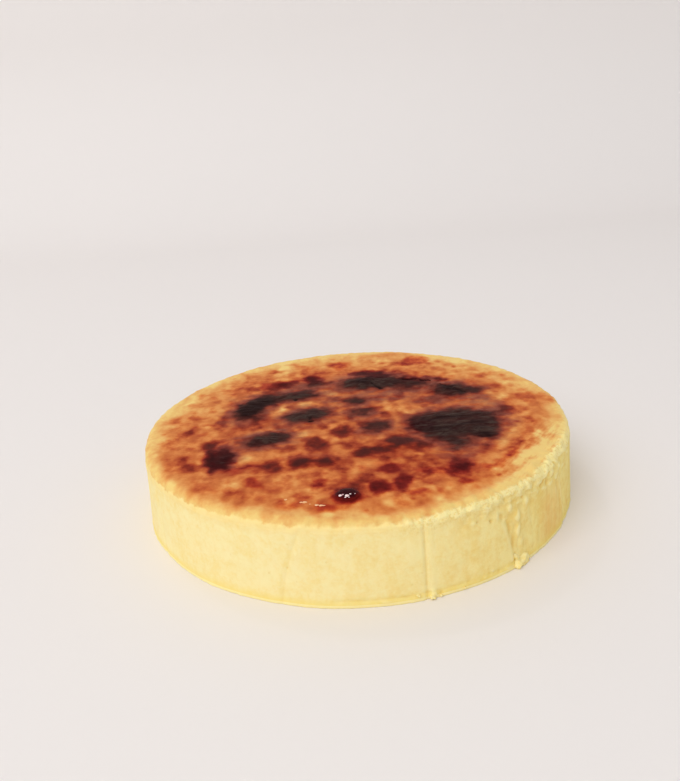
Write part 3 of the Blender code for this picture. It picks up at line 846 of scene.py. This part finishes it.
custard = {
    "pale": tone(250, 234, 175),
    "deep": tone(246, 222, 148),
    "ripePale": tone(253, 232, 150),
    "ripeDeep": tone(242, 207, 113),
    # partly the tan of the torn custard, partly painted shade of the recess
    "recess": tone(244, 196, 116),
    "foot": tone(247, 221, 120),
    # paler along the torn lip, where it catches the light from above: painted highlight
    "lip": tone(252, 236, 168),
    # darker in the small pits of the bump: painted shade
    "pore": tone(228, 190, 100),
    # darker in the hollows of the relief: painted shade
    "crease": tone(236, 196, 104),
    # paler on the ridges of the relief: painted highlight
    "crest": tone(255, 238, 172),
    # darker where the flakes of the torn custard dip: painted shade
    "crevice": tone(234, 200, 112),
    "warm": tone(243, 206, 122),    # where it meets the skin
    # how much of each colour is laid over the wall
    "footShare": 0.7,
    "poreShare": 0.3,
    "creaseShare": 0.5,
    "crestShare": 0.85,
    "warmShare": 0.4,
    "lipShare": 0.55,
    "creviceShare": 0.5,
    "bump": 0.55,           # strength of the relief that is too fine for the mesh
    "roughness": 0.55,
    "specular": 0.012,
    "softLight": 0.12,      # share of light that passes through the custard
    "softReach": (2.4, 1.8, 1.0),
}

skinLook = {
    # from bare gold to scorched brown
    "stops": [
        (0.00, tone(239, 205, 126)),
        (0.05, tone(235, 190, 112)),
        (0.12, tone(229, 168, 96)),
        (0.24, tone(217, 136, 70)),
        (0.36, tone(199, 107, 52)),
        (0.50, tone(170, 73, 36)),
        (0.62, tone(140, 51, 30)),
        (0.74, tone(108, 41, 30)),
        (0.86, tone(78, 36, 31)),
        (1.00, tone(50, 31, 28)),
    ],
    # the same for the spots that went red
    "redStops": [
        (0.00, tone(234, 176, 104)),
        (0.24, tone(219, 126, 60)),
        (0.34, tone(202, 92, 40)),
        (0.45, tone(174, 60, 30)),
        (0.60, tone(126, 28, 20)),
        (0.80, tone(76, 15, 16)),
        (1.00, tone(46, 13, 15)),
    ],
    "smoke": tone(132, 80, 66),
    "coal": tone(32, 12, 13),
    # pale grey on the raised streaks of the char: partly ash, partly painted sheen
    "ash": tone(80, 70, 62),
    "smokeShare": 0.7,
    "coalShare": 0.8,
    # how much the char darkens in the valleys of its streaks: painted shade
    "sootShare": 0.4,
    "ashShare": 0.6,
    # how strong the mottling of the plain skin is, and the strands where the paper tore it
    "broadMottle": 0.62,
    "middlingMottle": 0.42,
    "fineMottle": 0.16,
    "strands": 0.6,
    "strandTurn": -0.96,    # radians
    "roughness": 0.5,
    "sheen": 0.12,          # coat of the skin, where it isn't charred
    "sheenRoughness": 0.3,
}


def plugCustard(shader, colour, bump, **inputs):
    # what every piece of custard shares
    plug(
        shader,
        BaseColor=colour,
        Normal=bump,
        SpecularIORLevel=custard["specular"],
        SubsurfaceWeight=custard["softLight"],
        SubsurfaceRadius=custard["softReach"],
        SubsurfaceScale=metre,
        **inputs,
    )


def cakeMaterial():
    material, shader, wire = newMaterial("bakedCustard")
    place = wire.millimetres()
    black = wire.value("black")
    torn = wire.value("torn")
    hollow = wire.value("hollow")

    # noise used in more than one place, wide to fine
    broad = place.stretched(1.0, 0.75, 1.0).speckle(8.0, 1.0, 0.5)
    middling = place.stretched(1.0, 0.75, 1.0).speckle(4.4, 1.0, 0.5, 3.0)
    fine = place.speckle(1.5, 2.0, 0.6, 5.0)
    jag = (middling - 0.5) * 2.6 + (fine - 0.5) * 2.4
    crust = wire.value("crust") + jag

    # the skin's heat, from bare gold to scorched
    burnt = wire.value("burnt")
    unsure = burnt * (1.0 - burnt) * ((middling - 0.5) * 1.8 + (fine - 0.5) * 0.9)
    settled = (wire.value("golden") + (broad - 0.5) * 1.2).step(-0.1, 0.9)
    mottle = (broad - 0.5) * skinLook["broadMottle"] + (middling - 0.5) * skinLook["middlingMottle"]
    turned = wire.node("Mapping", {}, {"Vector": place, "Rotation": (0.0, 0.0, skinLook["strandTurn"])})
    strands = turned.stretched(0.3, 1.5, 1.0).speckle(2.8, 2.0, 0.6, 31.0)
    nearTear = wire.value("combed") * (1.0 - wire.value("crust").step(9.0, 18.0))
    base = wire.value("toast") + mottle * (settled * 0.7 + 0.3) + (fine - 0.5) * skinLook["fineMottle"]
    base = base + nearTear * (strands - 0.5) * skinLook["strands"]
    heat = 1.0 - (1.0 - (burnt + unsure)) * (1.0 - base)

    # the skin's colour, with smoke over it, ash and a painted sheen on the raised streaks of the char, and
    # painted shade in their valleys
    skinColour = wire.value("red").over(heat.ramp(skinLook["stops"]), heat.ramp(skinLook["redStops"]))
    veil = place.stretched(0.5, 1.0, 1.0).speckle(4.0, 3.0, 0.55, 7.0).step(0.30, 0.62)
    fume = wire.value("smoke") * (1.0 - heat.step(0.55, 0.9)) * veil
    skinColour = (fume * skinLook["smokeShare"]).over(skinColour, skinLook["smoke"])
    streaks = place.stretched(0.5, 1.0, 1.0).speckle(2.6, 3.0, 0.6, 9.0, 1.0)
    skinColour = (black * streaks.step(0.40, 0.76) * skinLook["ashShare"]).over(skinColour, skinLook["ash"])
    # the char darkened in the valleys of its streaks: painted shade
    valleyShade = black * (1.0 - streaks.step(0.28, 0.52)) * skinLook["sootShare"]
    skinColour = (wire.value("coal") * skinLook["coalShare"] + valleyShade).over(skinColour, skinLook["coal"])

    # the pale wall
    cloud = place.speckle(13.0, 3.0, 0.55, 13.0)
    grain = place.speckle(2.6, 3.0, 0.6, 17.0)
    streak = place.stretched(1.0, 1.0, 0.12).speckle(3.4, 2.0, 0.5, 19.0)
    yolk = (cloud - 0.5) * 1.3 + (grain - 0.5) * 1.3 + (fine - 0.5) * 0.7 + (streak - 0.5) * 0.7 + 0.4
    yolk = yolk.step(0.0, 1.0)
    left = yolk.over(custard["pale"], custard["deep"])
    right = yolk.over(custard["ripePale"], custard["ripeDeep"])
    # small pits of the wall, dented by the bump and painted darker as shade
    specked = place.speckle(9.0, 1.0, 0.5, 23.0).step(0.5, 0.66)
    speck = (1.0 - place.cells(2.4, 2.0).step(0.10, 0.24)) * specked
    flake = place.speckle(1.2, 2.0, 0.6, 29.0)
    broken = torn * crust.step(-7.0, -2.5) * (1.0 - crust.step(0.5, 2.5))
    wallColour = wire.value("ripe").over(left, right)
    layers = {
        # the recess: partly its own tan, partly painted shade
        "recess": wire.value("recess") * (streak * 0.6 + grain * 0.5),
        "foot": wire.value("foot") * custard["footShare"],
        # painted shade in the pits
        "pore": speck * custard["poreShare"],
        # painted shade in the hollows of the relief
        "crease": hollow.step(0.04, 0.5) * custard["creaseShare"],
        # painted highlight on the ridges of the relief
        "crest": (-hollow).step(0.03, 0.36) * custard["crestShare"],
        "warm": crust.step(-6.0, -0.5) * (1.0 - torn) * custard["warmShare"],
        # painted highlight along the torn lip
        "lip": torn * crust.step(-4.5, -0.4) * (grain.step(0.3, 0.6) * 0.6 + 0.4) * custard["lipShare"],
        # painted shade in the crevices between the flakes
        "crevice": broken * (1.0 - flake.step(0.36, 0.50)) * custard["creviceShare"],
    }
    for name, share in layers.items():
        wallColour = share.over(wallColour, custard[name])

    # relief too fine for the mesh
    onSkin = (crust / wire.value("blend")).step(-1.0, 1.0)
    skinHeight = streaks * black * 0.6 + fine * 0.14 + middling * 0.35
    wallHeight = grain * 0.30 + streak * 0.22 - speck * 0.15 + fine * 0.12 + flake * broken * 0.9
    height = skinHeight * onSkin + wallHeight * (1.0 - onSkin)
    rough = onSkin * (skinLook["roughness"] - custard["roughness"]) + (fine - 0.5) * 0.2
    plugCustard(
        shader,
        onSkin.over(wallColour, skinColour),
        height.bumps(custard["bump"]),
        Roughness=rough + custard["roughness"],
        CoatWeight=onSkin * (1.0 - heat.step(0.3, 0.8)) * skinLook["sheen"],
        CoatRoughness=skinLook["sheenRoughness"],
    )
    return material


# The scrap that the paper pulled out at the foot, and crumbs beside it

scrap = {
    "start": 35.5,          # bearings of its two sides
    "end": 40.9,
    "tall": 6.0,            # its height at the first side and at the second
    "low": 3.4,
    "proud": 1.5,
    "crease": 0.8,          # how far the fold across it stands out further
    "creaseHalf": 0.13,     # as a share of its width, like the next two
    "nick": 0.42,           # a low place in its upper edge
    "nickHalf": 0.16,
    "rows": 18,
    "steps": 22,
    "grainDeep": tone(247, 222, 142),
    "grainPale": tone(254, 240, 176),
    "crumbs": [             # bearing, height, half size
        (10.3, 2.6, 0.7), (13.4, 1, 0.9), (15.4, 0.9, 0.5), (21.2, 1.2, 0.4),
    ],
}


def wallPlace(bearing, height, out):
    # a place this far out from the wall
    angle = math.radians(bearing)
    radius = float(evenWall(height)) + float(wallRelief(np.array(bearing), np.array(height))) + out
    return (radius * math.sin(angle), -radius * math.cos(angle), height)


def scrapShape():
    # a flap that stands out most along the fold from its low corner to its far upper one
    rows = scrap["rows"]
    steps = scrap["steps"]
    place = []
    for row in range(rows + 1):
        share = row / rows
        for step in range(steps + 1):
            across = step / steps
            top = scrap["tall"] + (scrap["low"] - scrap["tall"]) * across
            top *= 1.0 - 0.22 * math.exp(-((across - scrap["nick"]) / scrap["nickHalf"]) ** 2)
            swell = (1.0 - (2.0 * across - 1.0) ** 6) * (1.0 - share ** 6)
            crease = math.exp(-((across - share * 0.85) / scrap["creaseHalf"]) ** 2)
            crease += 0.9 * math.exp(-((across - 0.1) / 0.1) ** 2)
            lump = 0.35 * noise.noise((across * 3.0, share * 3.0, 4.0))
            out = swell * (scrap["proud"] * (1.0 - 0.4 * share) + scrap["crease"] * crease + lump) - 0.4
            bearing = scrap["start"] + (scrap["end"] - scrap["start"]) * across
            bearing += 0.5 * noise.noise((share * 3.0, across, 9.0))
            place.append(wallPlace(bearing, 0.05 + top * share, out))
    wide = steps + 1
    faces = [
        (row * wide + step, row * wide + step + 1, (row + 1) * wide + step + 1, (row + 1) * wide + step)
        for row in range(rows) for step in range(steps)
    ]
    # the back, inside the wall, closes it
    border = list(range(wide)) + [row * wide + steps for row in range(1, rows + 1)]
    border += [rows * wide + step for step in reversed(range(steps))]
    border += [row * wide for row in reversed(range(1, rows))]
    place.append(wallPlace((scrap["start"] + scrap["end"]) / 2.0, scrap["low"] * 0.5, -2.0))
    faces += [(border[(i + 1) % len(border)], border[i], len(place) - 1) for i in range(len(border))]
    return place, faces


def crumbShape(bearing, height, half, seed):
    # a small uneven ball, partly sunk into the foot of the wall
    middle = Vector(wallPlace(bearing, max(height, half * 0.75), half * 0.4))
    ball = bmesh.new()
    bmesh.ops.create_icosphere(ball, subdivisions=3, radius=1.0)
    place = []
    for vertex in ball.verts:
        bulge = 1.0 + 0.8 * noise.noise(vertex.co * 1.3 + Vector((seed, 0.0, 0.0)))
        spot = middle + Vector((vertex.co.x, vertex.co.y, vertex.co.z * 0.7)) * half * bulge
        spot.z = max(spot.z, 0.03)
        place.append(tuple(spot))
    faces = [tuple(corner.index for corner in face.verts) for face in ball.faces]
    ball.free()
    return place, faces


def makeScraps():
    material, shader, wire = newMaterial("tornCustard")
    place = wire.millimetres()
    grain = place.speckle(1.6, 3.0, 0.6, 47.0)
    colour = grain.step(0.3, 0.7).over(scrap["grainDeep"], scrap["grainPale"])
    plugCustard(shader, colour, (grain * 0.4).bumps(0.5), Roughness=custard["roughness"])
    crumbs = [crumbShape(*crumb, 3.0 * index) for index, crumb in enumerate(scrap["crumbs"])]
    return [joinedPiece("foldedScrap", [scrapShape()], material), joinedPiece("footCrumbs", crumbs, material)]


# Syrup that baked out of the top

syrup = {
    "x": -5.6,
    "y": -71.2,
    "halfWidth": 4.7,
    "halfDepth": 4.6,
    "height": 1.5,
    "wobble": 0.10,
    # small beads of syrup, set where the skin shows glints: partly amber beads, partly painted highlights
    "beads": [
        (-20.4, -74, 0.75), (-21.6, -73.8, 0.5), (-16.2, -76.4, 0.6), (-14.8, -76.8, 0.65),
        (-13.8, -76.9, 0.4), (-27, -71, 0.5), (-18.6, -75.4, 0.3),
    ],
    # pale bubbles on the drop that stand for its glints: painted highlights
    "bubbles": [            # across, along, half width
        (-2.4, -1.8, 0.72), (-1.5, -1.5, 0.42), (-0.1, -2.4, 0.78), (1, -1.5, 0.42), (-0.7, -3.1, 0.42),
        (2.6, -1.2, 0.3), (0.5, -3.2, 0.3),
    ],
    "deep": tone(50, 8, 14),
    "thin": tone(116, 26, 20),      # at its edge
    # the colours of the painted highlights on the drop
    "bubbleDark": tone(222, 168, 170),
    "bubblePale": tone(252, 236, 232),
    # pale amber of the beads, partly a painted highlight
    "beadDark": tone(230, 166, 104),
    "beadPale": tone(246, 206, 158),
    "domePower": 2.4,       # above 2 makes a dome flatter on top and steeper at its edge
    "rings": 14,
    "steps": 48,
    "tuck": 0.35,           # how far the edge of a dome goes down into the skin
    "sunk": 0.9,            # how far the drop lies below the skin around it
}


def domeHeight(height, share):
    # the height of a dome at this share of the way out to its edge
    return height * math.sqrt(max(0.0, 1.0 - share ** syrup["domePower"]))


def domeShape(x, y, level, halfWidth, halfDepth, height, wobble, seed):
    # a low dome of syrup on the skin, with its edge just below it
    rings = syrup["rings"]
    steps = syrup["steps"]
    place = [(x, y, level + height)]
    for ring in range(1, rings + 1):
        share = ring / rings
        z = level + domeHeight(height, share) - (syrup["tuck"] if ring == rings else 0.0)
        for step in range(steps):
            c = math.cos(math.tau * step / steps)
            s = math.sin(math.tau * step / steps)
            reach = share * (1.0 + wobble * noise.noise((c * 1.4, s * 1.4, seed)))
            place.append((x + halfWidth * reach * c, y + halfDepth * reach * s, z))
    faces = [(0, 1 + step, 1 + (step + 1) % steps) for step in range(steps)]
    for low in range(1, 1 + (rings - 1) * steps, steps):
        for step in range(steps):
            after = (step + 1) % steps
            faces.append((low + step, low + steps + step, low + steps + after, low + after))
    last = 1 + (rings - 1) * steps
    faces.append(tuple(last + step for step in reversed(range(steps))))
    return place, faces


def skinLevel(x, y):
    radius = math.hypot(x, y)
    bearing = math.degrees(math.atan2(x, -y))
    even = float(evenTop(radius))
    return even + float(skinRelief(np.array(x), np.array(y))) + float(rimRelief(bearing, radius, x, y))


def makeDrop(level):
    # the dark drop, which is paler where it thins out at its edge
    material, shader, wire = newMaterial("bakedSyrup")
    thin = wire.value("thin") + (wire.millimetres().speckle(3.0, 2.0, 0.5, 31.0) - 0.5) * 0.6
    colour = thin.step(0.55, 1.1).over(syrup["deep"], syrup["thin"])
    plug(shader, BaseColor=colour, Roughness=0.05, SpecularIORLevel=0.015)
    size = (syrup["halfWidth"], syrup["halfDepth"], syrup["height"])
    place, faces = domeShape(syrup["x"], syrup["y"], level, *size, syrup["wobble"], 1.0)
    middle = np.array([syrup["x"], syrup["y"]])
    share = np.linalg.norm(np.array(place)[:, :2] - middle, axis=1) / syrup["halfWidth"]
    return meshObject("syrupDrop", place, faces, material, {"thin": share})


# pale domes on the drop, shaped as bubbles, that paint its glints: painted highlights
def makePaintedGlints(level):
    material, shader, wire = newMaterial("syrupBubble")
    cloudy = wire.millimetres().speckle(0.8, 1.0, 0.5, 43.0).step(0.35, 0.65)
    colour = cloudy.over(syrup["bubbleDark"], syrup["bubblePale"])
    plug(shader, BaseColor=colour, Roughness=0.2, SpecularIORLevel=0.4)
    shapes = []
    for index, (across, along, half) in enumerate(syrup["bubbles"]):
        share = math.hypot(across / syrup["halfWidth"], along / syrup["halfDepth"])
        crown = level + domeHeight(syrup["height"], share)
        middle = (syrup["x"] + across, syrup["y"] + along, crown - 0.12)
        shapes.append(domeShape(*middle, half, half * 0.9, half * 0.5, 0.25, 9.0 + index))
    return joinedPiece("syrupBubbles", shapes, material)


# syrup beads whose pale colour also stands for glints on the skin: partly painted highlights
def makeBeadsAndGlints():
    material, shader, wire = newMaterial("syrupBead")
    cloudy = wire.millimetres().speckle(2.0, 1.0, 0.5, 37.0)
    colour = cloudy.over(syrup["beadDark"], syrup["beadPale"])
    plug(shader, BaseColor=colour, Roughness=0.08, SpecularIORLevel=0.3)
    shapes = []
    for index, (x, y, half) in enumerate(syrup["beads"]):
        middle = (x, y, skinLevel(x, y) - 0.1)
        shapes.append(domeShape(*middle, half * 1.3, half * 0.8, half * 0.5, 0.3, 5.0 + index))
    return joinedPiece("syrupBeads", shapes, material)


def makeSyrup():
    level = skinLevel(syrup["x"], syrup["y"]) - syrup["sunk"]
    return [makeDrop(level), makePaintedGlints(level), makeBeadsAndGlints()]


# Camera, floor and light

view = {
    "place": (-0.0056, -0.3139, 0.1641),
    "pitch": 20.80,         # degrees down
    "roll": -4.02,          # degrees, to the left as the camera sees
    "lens": 36.41,
    "sensor": 36.0,
}

studio = {
    "floor": tone(238, 233, 230),
    "floorDark": tone(236, 231, 228),
    "floorReach": 1.6,
    "backDistance": 0.62,
    "backRound": 0.25,
    "backSteps": 12,
    "backHeight": 1.6,
    "world": (0.97, 0.98, 1.0, 1.0),
    "worldStrength": 0.62,
    "keyBearing": -36.0,
    "keyPitch": 46.0,
    "keyDistance": 2.4,
    "keySize": 1.8,
    "keyPower": 28.0,
    "keyColour": (1.0, 0.975, 0.955),
    "lampPlaces": [(-0.55, 0.9, 1.5), (0.10, 1.1, 1.6)],
    "lampSize": 0.18,
    "lampPower": 4.0,
}


def makeCamera():
    camera = bpy.data.objects.new("camera", bpy.data.cameras.new("camera"))
    camera.data.lens = view["lens"]
    camera.data.sensor_width = view["sensor"]
    camera.data.clip_start = 0.01
    pitch = math.radians(view["pitch"])
    tilt = Matrix.Rotation(math.pi / 2.0 - pitch, 4, "X")
    roll = Matrix.Rotation(math.radians(view["roll"]), 4, "Z")
    camera.matrix_world = Matrix.Translation(view["place"]) @ tilt @ roll
    bpy.context.scene.collection.objects.link(camera)
    bpy.context.scene.camera = camera


def makeStage():
    # a floor that curves up into a back wall, far behind the cake
    material, shader, wire = newMaterial("paleFloor")
    faint = wire.node("TexCoord", {}, {}, 3).speckle(0.4, 2.0, 0.5, 41.0)
    colour = faint.over(studio["floorDark"], studio["floor"])
    plug(shader, BaseColor=colour, Roughness=0.6, SpecularIORLevel=0.3)
    reach, back, bend = (studio[name] for name in ("floorReach", "backDistance", "backRound"))
    line = [(-reach, 0.0), (back, 0.0)]
    for step in range(1, studio["backSteps"] + 1):
        turn = math.pi / 2.0 * step / studio["backSteps"]
        line.append((back + bend * math.sin(turn), bend * (1.0 - math.cos(turn))))
    line.append((back + bend, studio["backHeight"]))
    place = [(side * reach / metre, y / metre, z / metre) for y, z in line for side in (-1.0, 1.0)]
    faces = [(2 * i, 2 * i + 1, 2 * i + 3, 2 * i + 2) for i in range(len(line) - 1)]
    meshObject("paleFloor", place, faces, material)


def addLight(name, place, size, power):
    # a square light that faces the cake
    light = bpy.data.objects.new(name, bpy.data.lights.new(name, "AREA"))
    light.data.size = size
    light.data.energy = power
    light.data.color = studio["keyColour"]
    light.location = place
    light.rotation_euler = place.to_track_quat("Z", "Y").to_euler()
    bpy.context.scene.collection.objects.link(light)


def makeLight():
    world = bpy.data.worlds.new("softSky")
    world.use_nodes = True
    sky = world.node_tree.nodes["Background"]
    sky.inputs["Color"].default_value = studio["world"]
    sky.inputs["Strength"].default_value = studio["worldStrength"]
    bpy.context.scene.world = world
    bearing = math.radians(studio["keyBearing"])
    pitch = math.radians(studio["keyPitch"])
    flat = math.cos(pitch)
    away = Vector((math.sin(bearing) * flat, -math.cos(bearing) * flat, math.sin(pitch)))
    addLight("keyLight", away * studio["keyDistance"], studio["keySize"], studio["keyPower"])
    for index, place in enumerate(studio["lampPlaces"]):
        addLight(f"smallLamp{index}", Vector(place), studio["lampSize"], studio["lampPower"])
    bpy.context.scene.view_settings.view_transform = "Standard"


makeCamera()
makeStage()
makeLight()
print("camera, floor and light are set")

cakePiece = makeCake(math.radians(view["pitch"]), cakeMaterial())
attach(cakePiece, "root")
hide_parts("cheesecake")
print("cake made:", len(cakePiece.data.polygons), "faces")

for piece in makeScraps():
    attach(piece, "root")
print("scrap and crumbs made")

for piece in makeSyrup():
    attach(piece, "root")
print("syrup drop and beads made")
